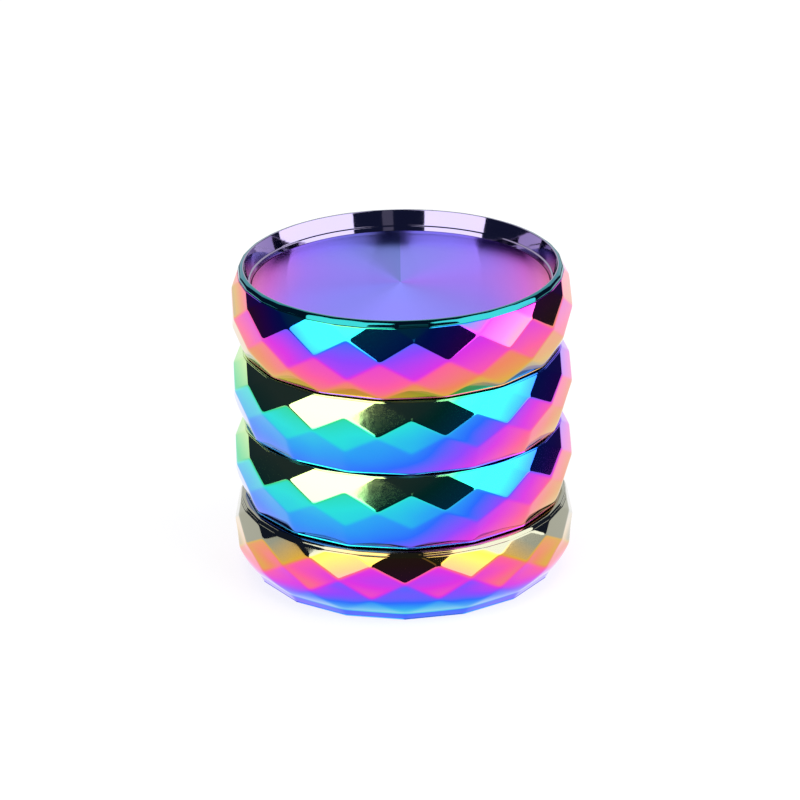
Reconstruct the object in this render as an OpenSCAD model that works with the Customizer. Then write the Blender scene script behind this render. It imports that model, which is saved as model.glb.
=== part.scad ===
// Four-piece herb and spice grinder: lid, grinding chamber, sieve chamber and base bowl.
// Each ring's outside is a band of flat rhombic facets; the inside is turned and bored.
// Millimetres, +Z up, origin at the centre of the base's underside.

/* [Outside] */
// Diameter across the facet corners at each ring's widest row
outer_d = 50; // [49:0.5:52]
// Number of facets around a row, and of rows above and below the widest corner row
facets = 16; // [16:2:20]
// Height of the base bowl's outside
base_h = 11.4; // [11.4:0.1:12]
// Height of the sieve ring's and of the chamber ring's outside
ring_h = 11.5; // [11.5:0.1:12]
// Height of the lid's outside
lid_h = 12; // [12:0.1:12.5]
// Visible gap between two rings
seam = 0.2; // [0.15:0.05:0.25]

/* [Facets] */
// Height of one row of corners on the base bowl
base_row = 2.65; // [2.6:0.05:2.7]
// Height of one row of corners on the two middle rings
ring_row = 2.7; // [2.65:0.05:2.75]
// Height of one row of corners on the lid
lid_row = 3.1; // [3.05:0.05:3.15]
// Height of the widest corners above the base's underside
base_widest = 8; // [7.8:0.1:8.2]
// Height of the widest corners above the underside of a middle ring
ring_widest = 6.4; // [6.3:0.1:6.5]
// Height of the widest corners above the underside of the lid
lid_widest = 6.3; // [6.2:0.1:6.4]
// Turn of the lid's facets about the axis at rest, in degrees
lid_facet_turn = 4; // [0:0.5:11]
// Turn of the chamber ring's facets at rest, in degrees
chamber_facet_turn = 2.8; // [0:0.1:11]
// Turn of the sieve ring's facets at rest, in degrees
sieve_facet_turn = 2.5; // [0:0.1:11]
// Radius of the corners on the base's underside
foot_r = 22.4; // [22:0.1:22.8]

/* [Lid] */
// Depth of the recess in the lid's top, down to the spun face
recess_depth = 2.9; // [2.6:0.1:3]
// Radius of the recess at the rim
recess_r = 22.6; // [22.4:0.1:22.6]
// Radius of the spun face
face_r = 21.6; // [21:0.1:21.6]
// Thickness of the spun face
face_t = 0.8; // [0.6:0.1:1]
// Radius of the rounding on the rim's outer edge
rim_round = 0.9; // [0.7:0.1:0.9]
// Thickness of the lid's plate, spun face included
lid_plate_t = 2.9; // [2.7:0.1:3.2]
// Outer radius of the skirt that sits inside the chamber ring
skirt_r = 21.2; // [21:0.1:21.2]

/* [Inside] */
// Radius of the grinding chamber
chamber_r = 20.4; // [20.2:0.1:20.4]
// Outer radius of the threaded necks
neck_r = 20.3; // [20.2:0.1:20.3]
// Radius of the bores that take the necks
socket_r = 21.2; // [21.2:0.05:21.25]
// Length of the threaded necks
neck_l = 4; // [4:0.1:4.2]
// Rise of the two-start screw threads in one turn
thread_lead = 3; // [2.8:0.1:3]
// Height of a thread's ridge above its neck or bore
thread_h = 0.65; // [0.5:0.05:0.65]
// Thickness of the base bowl's floor
floor_t = 1.8; // [1.6:0.1:2]
// Height of the tooth plate's top above the seam under the chamber ring
plate_top = 2.5; // [2.4:0.1:2.6]
// Thickness of the tooth plate
plate_t = 2; // [1.8:0.1:2.2]
// Radius of the fall-through holes
hole_r = 1.6; // [1.4:0.1:1.7]

/* [Teeth and magnets] */
// Length of a tooth's section along the circle it stands on
tooth_l = 3.2; // [2.8:0.1:3.4]
// Width of a tooth's section across that circle
tooth_w = 2.2; // [2:0.1:2.2]
// Length of the lid's teeth
lid_tooth_h = 13.6; // [13:0.1:14]
// Length of the tooth plate's teeth
plate_tooth_h = 8.6; // [8:0.1:8.8]
// Radius of the hub and of the post that hold the magnets
post_r = 5.2; // [5:0.1:5.4]
// Radius of the magnets
magnet_r = 4; // [3.8:0.1:4]
// Thickness of the magnets
magnet_t = 3; // [2.8:0.1:3.2]

/* [Hidden] */
$fn = 128;
R = outer_d / 2;
step = 180 / facets;
z1 = base_h;
z2 = z1 + ring_h;
z3 = z2 + ring_h;
H = z3 + lid_h;
eps = 0.01;
THREAD_STARTS = 2;
THREAD_STEPS = 36;
thread_foot_w = 0.95;
thread_crest_w = 0.4;
thread_bury = 0.3;
male_thread_l = 2.5;
female_thread_l = 3.25;
thread_clear = 0.3;
run_out = 4;
ROWS_UP = 3;
ROWS_DOWN = 2;
OVER = 2;
fit = 0.05;
seal_w = 0.9;
seal_depth = 1;
socket_depth = 4.4;
ledge_z = 2.2;
ledge_r = 21.9;
ledge_fall = 0.12;
face_z = H - recess_depth;
ceiling_z = face_z + face_t - lid_plate_t - 0.8;
plate_z = z2 + plate_top - plate_t;
tooth_z = z2 + plate_top;
slip_z = z3 - 5.4;
slip_t = 0.6;
slip_in = 20.6;
chamber_mouth_r = 21.6;
skirt_z = slip_z + slip_t + fit;
hub_z = z3 - 1.2;
post_z = hub_z - 0.4;
neck_bore_r = 18.4;
screen_r = 19;
hoop_t = 0.8;
hoop_in = 18.2;
retainer_t = 0.9;
screen_z = z1 - neck_l;
mesh_t = 0.2;
lip_t = 0.9;
lip_r = 17.9;
bowl_r = 20.2;
bowl_round = 3;
screw_r = 1.2;
screw_head_r = 2.4;
screw_head_t = 1.2;
screw_l = 6;
drive_w = 0.5;
drive_depth = 0.6;
LID_INNER = [8.2, 6, 0];
LID_OUTER = [14.2, 10, 0];
PLATE_INNER = [11.2, 8, 22.5];
PLATE_OUTER = [17.3, 12, 15];
HOLE_RINGS = [[8.2, 8, 0], [14.2, 16, 11.25], [17.5, 12, 0]];

// Corner radius of the row that lies i rows below the widest one: a cosine, which keeps every rhombus flat
function corner_r(i) = R * cos(step * i);

// One ring of corners: every second row is turned by one step
function corner_row(k, i, turn, r, z) =
    [for (j = [0 : facets - 1])
        let (a = turn + step * (2 * j + (k % 2 == 0 ? 1 : 0)) - 90)
        [r * cos(a), r * sin(a), z]];

// Closed faceted barrel. widest is the height of row i = 0 and shift moves the rows by part of a row.
// Below the last row, a plain band runs down to z = low, where its corners lie on foot.
module faceted_barrel(widest, row, turn, low, foot, shift = 0) {
    ks = [for (k = [-ROWS_UP : ROWS_DOWN]) k];
    n = len(ks);
    points = [
        for (k = ks) each corner_row(k, k + shift, turn, corner_r(k + shift), widest - row * (k + shift)),
        each corner_row(ROWS_DOWN, ROWS_DOWN + shift, turn, foot, low)
    ];
    // index of corner j in the row at place q
    function at(q, j) = q * facets + (j + facets) % facets;
    // column of the corner between j and j + 1, in the rows next to the one at place q
    function mid(q, j) = ks[q] % 2 == 0 ? j + 1 : j;
    cols = [for (j = [0 : facets - 1]) j];
    faces = [
        [for (j = cols) at(0, facets - 1 - j)],
        for (j = cols) [at(0, j), at(0, j + 1), at(1, mid(0, j))],
        for (q = [1 : n - 2], j = cols) [at(q - 1, mid(q, j)), at(q, j + 1), at(q + 1, mid(q, j)), at(q, j)],
        for (j = cols) [at(n - 2, mid(n - 1, j)), at(n - 1, j + 1), at(n - 1, j)],
        for (j = cols) [at(n - 1, j), at(n - 1, j + 1), at(n, j + 1), at(n, j)],
        [for (j = cols) at(n, j)]
    ];
    polyhedron(points, faces, convexity = 4);
}

// Faceted barrel cut off level at z = top
module faceted_ring(widest, row, turn, low, top, foot, shift = 0) {
    intersection() {
        faceted_barrel(widest, row, turn, low, foot, shift);
        translate([0, 0, low - OVER]) cylinder(r = R + OVER, h = top - low + OVER);
    }
}

// Solid of revolution from a list of [radius, height] points
module turned(outline) {
    rotate_extrude() polygon(outline);
}

// Plain flat ring
module flat_ring(r_out, r_in, z, h) {
    turned([[r_in, z], [r_out, z], [r_out, z + h], [r_in, z + h]]);
}

// Circle of diamond-section teeth, [radius, count, first angle], standing on z and h tall
module teeth(circle_of, z, h) {
    for (k = [0 : circle_of[1] - 1]) rotate(circle_of[2] + k * 360 / circle_of[1])
        translate([circle_of[0], 0, z]) linear_extrude(h)
            polygon([[-tooth_w / 2, 0], [0, -tooth_l / 2], [tooth_w / 2, 0], [0, tooth_l / 2]]);
}

// Bore with a seal seat at its mouth, cut down from z = top
module socket(top) {
    translate([0, 0, top - socket_depth]) cylinder(r = socket_r, h = socket_depth + OVER);
    translate([0, 0, top - seal_depth]) cylinder(r = socket_r + 0.25, h = seal_depth + OVER);
}

// Right-handed helical ridge on a neck (side = 1) or in a bore (side = -1) of radius r, from z up over
// a height l. Its section is a trapezoid, which sinks into the wall at both ends of the helix.
module ridge(r, side, z, l, first) {
    n = ceil((l - thread_foot_w) / thread_lead * THREAD_STEPS);
    rise = (l - thread_foot_w) / n;
    function crest(q) = r + side * thread_h * min(1, (min(q, n - q) + 0.2) / run_out);
    points = [for (q = [0 : n])
        let (a = first + 360 * rise * q / thread_lead, foot = r - side * thread_bury, zc = z + thread_foot_w / 2 + rise * q)
        each [for (corner = [[foot, -thread_foot_w], [crest(q), -thread_crest_w], [crest(q), thread_crest_w], [foot, thread_foot_w]])
            [corner[0] * cos(a), corner[0] * sin(a), zc + corner[1] / 2]]];
    walls = [for (q = [0 : n - 1], e = [0 : 3])
        let (u = 4 * q + e, v = 4 * q + (e + 1) % 4)
        each [[u, v, v + 4], [u, v + 4, u + 4]]];
    faces = [each walls, [3, 2, 1, 0], [for (e = [0 : 3]) 4 * n + e]];
    polyhedron(points, side > 0 ? faces : [for (f = faces) [for (i = [len(f) - 1 : -1 : 0]) f[i]]], convexity = 6);
}

// Two-start male thread on the neck whose underside is at z
module male_thread(z) {
    for (s = [0 : THREAD_STARTS - 1]) ridge(neck_r, 1, z + thread_clear, male_thread_l, s * 360 / THREAD_STARTS);
}

// The thread it screws into, half a pitch away
module female_thread(z) {
    pitch = thread_lead / THREAD_STARTS;
    for (s = [0 : THREAD_STARTS - 1])
        ridge(socket_r, -1, z + thread_clear - pitch / 2, female_thread_l, s * 360 / THREAD_STARTS);
}

// Ring magnet with a countersunk hole: head_up says which face the countersink is on
module ring_magnet(z, head_up) {
    low_r = head_up ? screw_r + fit : screw_head_r + fit;
    high_r = head_up ? screw_head_r + fit : screw_r + fit;
    cone_low = head_up ? magnet_t - screw_head_t : 0;
    turned([
        [low_r, z], [magnet_r, z], [magnet_r, z + magnet_t], [high_r, z + magnet_t],
        if (head_up) [screw_r + fit, z + cone_low],
        if (!head_up) [screw_r + fit, z + screw_head_t]
    ]);
}

// Countersunk screw along Z with its head's face at z, pointing up or down, with a cross drive
module magnet_screw(z, head_up) {
    translate([0, 0, z]) mirror([0, 0, head_up ? 0 : 1]) difference() {
        turned([[0, 0], [screw_head_r, 0], [screw_r, -screw_head_t], [screw_r, -screw_l], [0, -screw_l]]);
        for (a = [0, 90]) rotate(a) translate([-screw_r, -drive_w / 2, -drive_depth])
            cube([2 * screw_r, drive_w, drive_depth + OVER]);
    }
}

module base_bowl() {
    color("mediumorchid") female_thread(screen_z);
    color("mediumorchid") difference() {
        faceted_ring(base_widest, base_row, step, 0, z1 - seam / 2, foot_r, 0.5);
        turned([[0, floor_t], [bowl_r - bowl_round, floor_t],
            for (a = [-80 : 10 : 0]) [bowl_r - bowl_round + bowl_round * cos(a),
                floor_t + bowl_round + bowl_round * sin(a)],
            [bowl_r, z1 - socket_depth + eps], [0, z1 - socket_depth + eps]]);
        socket(z1 - seam / 2);
    }
}

module sieve_ring() {
    color("deepskyblue") female_thread(z2 - neck_l);
    color("deepskyblue") difference() {
        union() {
            male_thread(screen_z);
            faceted_ring(z1 + ring_widest, ring_row, sieve_facet_turn, z1 + seam / 2, z2 - seam / 2, corner_r(2));
            translate([0, 0, screen_z]) cylinder(r = neck_r, h = neck_l + OVER);
        }
        translate([0, 0, screen_z - OVER]) cylinder(r = screen_r, h = OVER + retainer_t + hoop_t);
        translate([0, 0, screen_z]) cylinder(r = lip_r, h = neck_l);
        translate([0, 0, screen_z + retainer_t + hoop_t + lip_t]) cylinder(r = neck_bore_r, h = ring_h);
        turned([[0, z1 + 0.6], [neck_bore_r, z1 + 0.6], [bowl_r, z1 + 2.4], [bowl_r, z2 - 1], [0, z2 - 1]]);
        socket(z2 - seam / 2);
    }
}

module screen_hoop() {
    color("silver") difference() {
        flat_ring(screen_r, hoop_in, screen_z + retainer_t, hoop_t);
        translate([0, 0, screen_z + retainer_t + (hoop_t - mesh_t) / 2]) cylinder(r = hoop_in + 0.4, h = mesh_t);
    }
}

module screen_mesh() {
    color("lightgray") translate([0, 0, screen_z + retainer_t + (hoop_t - mesh_t) / 2])
        cylinder(r = hoop_in + 0.4, h = mesh_t);
}

module screen_retainer() {
    color("slategray") flat_ring(screen_r, lip_r, screen_z, retainer_t);
}

module sieve_seal() {
    color("black") seal(z1);
}

module chamber_seal() {
    color("black") seal(z2);
}

// Rubber ring of square section at the root of a neck, under the seam at z
module seal(z) {
    flat_ring(socket_r + 0.2, neck_r + fit, z - seam / 2 - seal_w, seal_w);
}

module chamber_ring() {
    color("mediumspringgreen") difference() {
        union() {
            male_thread(z2 - neck_l);
            faceted_ring(z2 + ring_widest, ring_row, chamber_facet_turn, z2 + seam / 2, z3 - seam / 2, corner_r(2));
            translate([0, 0, z2 - neck_l]) cylinder(r = neck_r, h = neck_l + OVER);
        }
        translate([0, 0, z2 - neck_l - OVER]) cylinder(r = neck_bore_r, h = ring_h);
        translate([0, 0, plate_z]) cylinder(r = chamber_r, h = ring_h);
        translate([0, 0, slip_z]) cylinder(r = chamber_mouth_r, h = ring_h);
    }
}

module tooth_plate() {
    color("cadetblue") difference() {
        union() {
            translate([0, 0, plate_z]) cylinder(r = chamber_r, h = plate_t);
            translate([0, 0, plate_z]) cylinder(r = post_r, h = post_z - plate_z);
        }
        translate([0, 0, post_z - magnet_t]) cylinder(r = magnet_r + fit, h = magnet_t + OVER);
        translate([0, 0, post_z - screw_l]) cylinder(r = screw_r, h = screw_l);
        for (ring = HOLE_RINGS, k = [0 : ring[1] - 1]) rotate(ring[2] + k * 360 / ring[1])
            translate([ring[0], 0, plate_z - OVER]) cylinder(r = hole_r, h = plate_t + 2 * OVER, $fn = 32);
    }
}

module chamber_teeth_inner() {
    color("turquoise") teeth(PLATE_INNER, tooth_z, plate_tooth_h);
}

module chamber_teeth_outer() {
    color("turquoise") teeth(PLATE_OUTER, tooth_z, plate_tooth_h);
}

module chamber_magnet() {
    color("gainsboro") ring_magnet(post_z - magnet_t, true);
}

module chamber_magnet_screw() {
    color("silver") magnet_screw(post_z, true);
}

module slip_ring() {
    color("ivory") flat_ring(chamber_mouth_r - 0.1, slip_in, slip_z, slip_t);
}

module lid_shell() {
    color("violet") difference() {
        union() {
            intersection() {
                faceted_barrel(z3 + lid_widest, lid_row, lid_facet_turn, z3 + seam / 2, corner_r(2));
                turned([[0, z3], [R + OVER, z3], [R + OVER, H - 3 * rim_round], [R - 1, H - 1.6 * rim_round],
                    for (a = [0 : 15 : 90]) [R - 1.6 - rim_round + rim_round * cos(a),
                        H - rim_round + rim_round * sin(a)],
                    [0, H]]);
            }
            translate([0, 0, skirt_z]) cylinder(r = skirt_r, h = z3 + OVER - skirt_z);
        }
        turned([[0, face_z - face_t], [face_r + fit, face_z - face_t], [face_r + fit, face_z],
            [ledge_r, H - ledge_z - ledge_fall], [recess_r - 0.3, H - ledge_z], [recess_r, H + OVER], [0, H + OVER]]);
        difference() {
            translate([0, 0, skirt_z - OVER]) cylinder(r = chamber_r, h = ceiling_z - skirt_z + OVER);
            translate([0, 0, hub_z]) cylinder(r = post_r, h = H - hub_z);
        }
        translate([0, 0, hub_z - OVER]) cylinder(r = magnet_r + fit, h = magnet_t + OVER);
        translate([0, 0, hub_z]) cylinder(r = screw_r, h = screw_l);
    }
}

module lid_face() {
    color("mediumslateblue") translate([0, 0, face_z - face_t]) cylinder(r = face_r, h = face_t);
}

module lid_teeth_inner() {
    color("plum") teeth(LID_INNER, ceiling_z - lid_tooth_h, lid_tooth_h);
}

module lid_teeth_outer() {
    color("plum") teeth(LID_OUTER, ceiling_z - lid_tooth_h, lid_tooth_h);
}

module lid_magnet() {
    color("gainsboro") ring_magnet(hub_z, false);
}

module lid_magnet_screw() {
    color("silver") magnet_screw(hub_z, false);
}

lid_shell();
lid_face();
lid_teeth_inner();
lid_teeth_outer();
lid_magnet();
lid_magnet_screw();
slip_ring();
chamber_ring();
tooth_plate();
chamber_teeth_inner();
chamber_teeth_outer();
chamber_magnet();
chamber_magnet_screw();
chamber_seal();
sieve_ring();
screen_hoop();
screen_mesh();
screen_retainer();
sieve_seal();
base_bowl();
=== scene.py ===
"""Looks of a four-piece herb grinder: four stacked rings with diamond facets under a rainbow film.

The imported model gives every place. Sizes here are in millimetres; meshes are written in metres.
Outer and inner walls of a ring are one closed skin: a profile carried round the axis.
"""

import logging
import math
from dataclasses import dataclass, replace
from enum import Enum

import bpy
import numpy as np
from mathutils import Matrix, Vector


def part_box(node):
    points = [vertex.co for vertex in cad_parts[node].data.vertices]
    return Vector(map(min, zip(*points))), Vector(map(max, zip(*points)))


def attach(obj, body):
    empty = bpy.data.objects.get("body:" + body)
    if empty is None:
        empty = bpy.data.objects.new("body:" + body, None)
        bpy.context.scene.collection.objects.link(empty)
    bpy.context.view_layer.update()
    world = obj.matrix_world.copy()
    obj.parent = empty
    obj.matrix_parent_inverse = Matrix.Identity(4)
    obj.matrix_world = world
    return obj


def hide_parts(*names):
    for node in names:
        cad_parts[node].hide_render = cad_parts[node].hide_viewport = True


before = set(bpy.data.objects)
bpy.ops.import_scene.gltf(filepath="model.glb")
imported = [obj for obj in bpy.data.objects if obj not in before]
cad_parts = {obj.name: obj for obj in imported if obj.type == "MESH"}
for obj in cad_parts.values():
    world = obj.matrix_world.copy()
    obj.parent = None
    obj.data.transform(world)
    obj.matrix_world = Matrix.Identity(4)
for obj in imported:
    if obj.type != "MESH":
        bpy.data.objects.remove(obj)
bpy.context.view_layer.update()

MM = 0.001
# Half of the gap between two shells at a seam.
SEAM_HALF = 0.1
# Step from the end of one stretch of a wall to the start of the next.
JOIN = 0.02
LOG = logging.getLogger("grinder")


def reach(node: str) -> tuple[np.ndarray, np.ndarray]:
    """Lowest and highest corner of a CAD node at rest, in millimetres.

    Args:
        node: name of the CAD node.

    Returns:
        The two corners as arrays of x, y, z.
    """
    low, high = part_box(node)
    return np.array(low) / MM, np.array(high) / MM


def floor_of(node: str) -> float:
    """Height of a CAD node's lowest point, in millimetres."""
    return float(reach(node)[0][2])


def top_of(node: str) -> float:
    """Height of a CAD node's highest point, in millimetres."""
    return float(reach(node)[1][2])


def radius_of(node: str) -> float:
    """Largest distance of a round CAD node's wall from the axis, in millimetres."""
    return float(reach(node)[1][0])


# ---------------------------------------------------------------- mesh helpers


class Ends(Enum):
    """How a carried profile closes."""

    LOOP = "the last row meets the first, as on an open ring"
    POLES = "the first and the last row are points on the axis"


def mesh_object(name: str, points: np.ndarray, faces: np.ndarray, smooth: bool = True) -> bpy.types.Object:
    """Makes an object at the origin from points in millimetres.

    Args:
        name: the piece's name.
        points: array of x, y, z rows.
        faces: array of point numbers, one row for each face.
        smooth: whether faces are shaded smooth.

    Returns:
        The new object, linked to the scene.
    """
    mesh = bpy.data.meshes.new(name)
    mesh.from_pydata((points * MM).tolist(), [], faces.tolist())
    mesh.polygons.foreach_set("use_smooth", np.full(len(mesh.polygons), smooth))
    mesh.validate()
    mesh.update()
    piece = bpy.data.objects.new(name, mesh)
    bpy.context.scene.collection.objects.link(piece)
    return piece


def facing_out(points: np.ndarray, faces: np.ndarray) -> np.ndarray:
    """Turns all faces over if the closed skin's signed volume is negative.

    The volume is a sixth of the sum of a . (b x c) over the triangles.

    Args:
        points: array of x, y, z rows.
        faces: array of triangles.

    Returns:
        The triangles, with their outer side out.
    """
    a, b, c = (points[faces[:, k]] for k in range(3))
    volume = np.einsum("ij,ij->i", a, np.cross(b, c)).sum()
    return faces if volume > 0 else faces[:, ::-1]


def rounded(outline: list[tuple[float, float, float]], steps: int = 4, hold: float = 0.02) -> np.ndarray:
    """Rounds the corners of an outline in the radius-height plane.

    Each corner is replaced by an arc that starts and ends at fillet / tan(half angle) from the corner, plus
    one point just outside each end, which keeps the flats flat under smooth shading.

    Args:
        outline: (radius, height, fillet) corners; the first and the last stay as they are.
        steps: arc pieces in a corner.
        hold: distance of the extra points from the arc's ends.

    Returns:
        Array of radius, height rows.
    """
    path = [np.array(outline[0][:2])]
    for before, here, after in zip(outline, outline[1:], outline[2:]):
        corner = np.array(here[:2])
        back, ahead = np.array(before[:2]) - corner, np.array(after[:2]) - corner
        room = 0.45 * min(np.linalg.norm(back), np.linalg.norm(ahead))
        back, ahead = back / np.linalg.norm(back), ahead / np.linalg.norm(ahead)
        half = 0.5 * math.acos(float(np.clip(back @ ahead, -1, 1)))
        if here[2] <= 0 or half > 1.55:
            path.append(corner)
            continue
        reach_back = min(here[2] / math.tan(half), room)
        fillet = reach_back * math.tan(half)
        middle = corner + (back + ahead) / np.linalg.norm(back + ahead) * (fillet / math.sin(half))
        start, end = corner + back * reach_back, corner + ahead * reach_back
        arc = np.linspace(0, 1, steps + 1)[:, None]
        spokes = (start - middle) * (1 - arc) + (end - middle) * arc
        spokes = spokes / np.linalg.norm(spokes, axis=1)[:, None] * fillet
        path += [start + back * hold, *(middle + spokes), end + ahead * hold]
    path.append(np.array(outline[-1][:2]))
    return np.array(path)


@dataclass(frozen=True)
class Stretch:
    """A part of a carried profile: radius and height for each row and column, and the finish it wears.

    Where falling is given, it says for each cell whether that cell is cut along its falling diagonal.
    """

    radius: np.ndarray
    height: np.ndarray
    finish: "Finish"
    falling: np.ndarray | None = None

    def cuts(self) -> np.ndarray:
        """For each cell, whether it is cut along its falling diagonal."""
        return np.zeros(self.radius.shape, bool) if self.falling is None else self.falling

    def flipped(self) -> "Stretch":
        """The stretch in the opposite order, in which a falling diagonal becomes a rising one.

        Returns:
            The new stretch.
        """
        falling = None
        if self.falling is not None:
            falling = np.zeros_like(self.falling)
            falling[:-1] = ~self.falling[::-1][1:]
        return Stretch(self.radius[::-1], self.height[::-1], self.finish, falling)


def rolled(outer: np.ndarray, level: float, size: float, upward: int, finish: "Finish") -> Stretch:
    """A quarter round that turns a wall into a level face.

    With t from 0 to a quarter turn, radius = outer - size (1 - cos t) and
    height = level - upward size (1 - sin t).

    Args:
        outer: the wall's radius at each column.
        level: height of the level face.
        size: radius of the round.
        upward: 1 where the face looks up, -1 where it looks down.
        finish: the finish it wears.

    Returns:
        The stretch, from the wall to the face.
    """
    t = np.linspace(0, math.pi / 2, 5)[:, None]
    radius = outer - size * (1 - np.cos(t))
    return Stretch(radius, level - upward * size * (1 - np.sin(t)) + 0 * outer, finish)


@dataclass(frozen=True)
class Turning:
    """The columns of a carried profile: evenly spaced angles round the axis."""

    columns: int
    start: float = 0.0

    def angles(self) -> np.ndarray:
        """Angles in radians, measured from the front (-Y) towards +X."""
        return self.start + np.arange(self.columns) * 2 * math.pi / self.columns

    def plain(self, path: np.ndarray, finish: "Finish") -> Stretch:
        """A round stretch: the same radius at every angle.

        Args:
            path: radius, height rows.
            finish: the finish it wears.

        Returns:
            The stretch, one row for each row of the path.
        """
        ones = np.ones(self.columns)
        return Stretch(path[:, :1] * ones, path[:, 1:] * ones, finish)

    def skin(self, name: str, stretches: list[Stretch], ends: Ends) -> bpy.types.Object:
        """Carries stretches of profile round the axis and sews them into one closed skin.

        A point is (radius sin angle, -radius cos angle, height).

        Args:
            name: the piece's name.
            stretches: the parts of the profile, in order.
            ends: how the profile closes.

        Returns:
            The piece, dressed in its stretches' finishes.
        """
        radius = np.concatenate([s.radius for s in stretches])
        height = np.concatenate([s.height for s in stretches])
        wearing = list(dict.fromkeys(s.finish for s in stretches))
        slot = np.concatenate([np.full(len(s.radius), wearing.index(s.finish)) for s in stretches])
        angle = self.angles()
        points = np.stack([radius * np.sin(angle), -radius * np.cos(angle), height], -1).reshape(-1, 3)
        rows, n = len(radius), self.columns
        last = rows if ends is Ends.LOOP else rows - 1
        q, j = np.meshgrid(np.arange(last), np.arange(n), indexing="ij")
        down, right = (q + 1) % rows, (j + 1) % n
        a, b, c, d = q * n + j, q * n + right, down * n + right, down * n + j
        falling = np.concatenate([s.cuts() for s in stretches])[:last, :, None]
        first = np.where(falling, np.stack([a, d, c], -1), np.stack([a, d, b], -1))
        second = np.where(falling, np.stack([a, c, b], -1), np.stack([b, d, c], -1))
        faces = np.stack([first, second], 2).reshape(-1, 3)
        worn = np.repeat(slot[q.ravel()], 2)
        if ends is Ends.POLES:
            faces = np.where(faces < n, 0, faces)
            faces = np.where(faces >= (rows - 1) * n, (rows - 1) * n, faces)
            sound = (faces[:, 0] != faces[:, 1]) & (faces[:, 1] != faces[:, 2]) & (faces[:, 2] != faces[:, 0])
            faces, worn = faces[sound], worn[sound]
        used, faces = np.unique(faces, return_inverse=True)
        points, faces = points[used], faces.reshape(-1, 3)
        piece = mesh_object(name, points, facing_out(points, faces))
        dress(piece, wearing)
        piece.data.polygons.foreach_set("material_index", worn.astype(np.int32))
        return piece


def dress(piece: bpy.types.Object, finishes: list["Finish"]) -> None:
    """Puts finishes on a piece in place of what it wears.

    Args:
        piece: the object.
        finishes: finishes in slot order.
    """
    piece.data.materials.clear()
    for finish in finishes:
        piece.data.materials.append(finish.material())


# ---------------------------------------------------------------- finishes


def linear(red: float, green: float, blue: float) -> tuple[float, float, float, float]:
    """Display colour from 0 to 255 a channel, as scene-linear with alpha."""
    parts = [v / 255 for v in (red, green, blue)]
    return tuple(v / 12.92 if v < 0.04045 else ((v + 0.055) / 1.055) ** 2.4 for v in parts) + (1.0,)


# The film's colour as it grows thicker, from 0, a dull straw, through gold, pink and blue to 1, a pale lime.
FILM_COLOURS = (
    (0.00, linear(150, 150, 128)),
    (0.10, linear(222, 170, 40)),
    (0.20, linear(240, 130, 84)),
    (0.30, linear(255, 84, 160)),
    (0.41, linear(222, 30, 228)),
    (0.50, linear(140, 60, 255)),
    (0.59, linear(0, 100, 255)),
    (0.69, linear(0, 165, 245)),
    (0.79, linear(0, 225, 220)),
    (0.88, linear(20, 215, 140)),
    (1.00, linear(214, 245, 150)),
)


class NodeBench:
    """Short ways to add and join shader nodes."""

    def __init__(self, name: str) -> None:
        """Starts a material with an empty tree."""
        self.material = bpy.data.materials.new(name)
        self.material.use_nodes = True
        self.tree = self.material.node_tree
        self.tree.nodes.clear()

    def add(self, kind: str, values: dict | None = None, **settings: object) -> bpy.types.Node:
        """Adds a node.

        Args:
            kind: the node's type without its ShaderNode prefix.
            values: input name to a value, or to a socket that is joined to it.
            settings: the node's own settings.

        Returns:
            The node.
        """
        node = self.tree.nodes.new("ShaderNode" + kind)
        for key, value in settings.items():
            setattr(node, key, value)
        for key, value in (values or {}).items():
            socket = node.inputs[key]
            if isinstance(value, bpy.types.NodeSocket):
                self.tree.links.new(value, socket)
            else:
                socket.default_value = value
        return node

    def sum_of(self, terms: list[tuple[object, float]], start: float = 0.0) -> bpy.types.NodeSocket:
        """Adds up sockets, each times a factor.

        Args:
            terms: (socket, factor) pairs.
            start: constant added to the sum.

        Returns:
            The socket that carries the sum.
        """
        total: object = start
        for socket, factor in terms:
            step = self.add("Math", {0: socket, 1: factor, 2: total}, operation="MULTIPLY_ADD")
            total = step.outputs[0]
        return total

    def product(self, a: object, b: object) -> bpy.types.NodeSocket:
        """Multiplies two numbers or sockets."""
        return self.add("Math", {0: a, 1: b}, operation="MULTIPLY").outputs[0]

    def close(self, shader: bpy.types.Node) -> bpy.types.Material:
        """Joins the shader to the output and returns the material."""
        self.add("OutputMaterial", {"Surface": shader.outputs[0]})
        return self.material


class Finish:
    """A procedural material, made once and shared."""

    made: dict[str, bpy.types.Material] = {}
    name: str

    def material(self) -> bpy.types.Material:
        """The finish's material."""
        if self.name not in Finish.made:
            Finish.made[self.name] = self.build(NodeBench(self.name))
        return Finish.made[self.name]

    def build(self, bench: NodeBench) -> bpy.types.Material:
        """Builds the node tree; each finish has its own."""
        raise NotImplementedError


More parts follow.
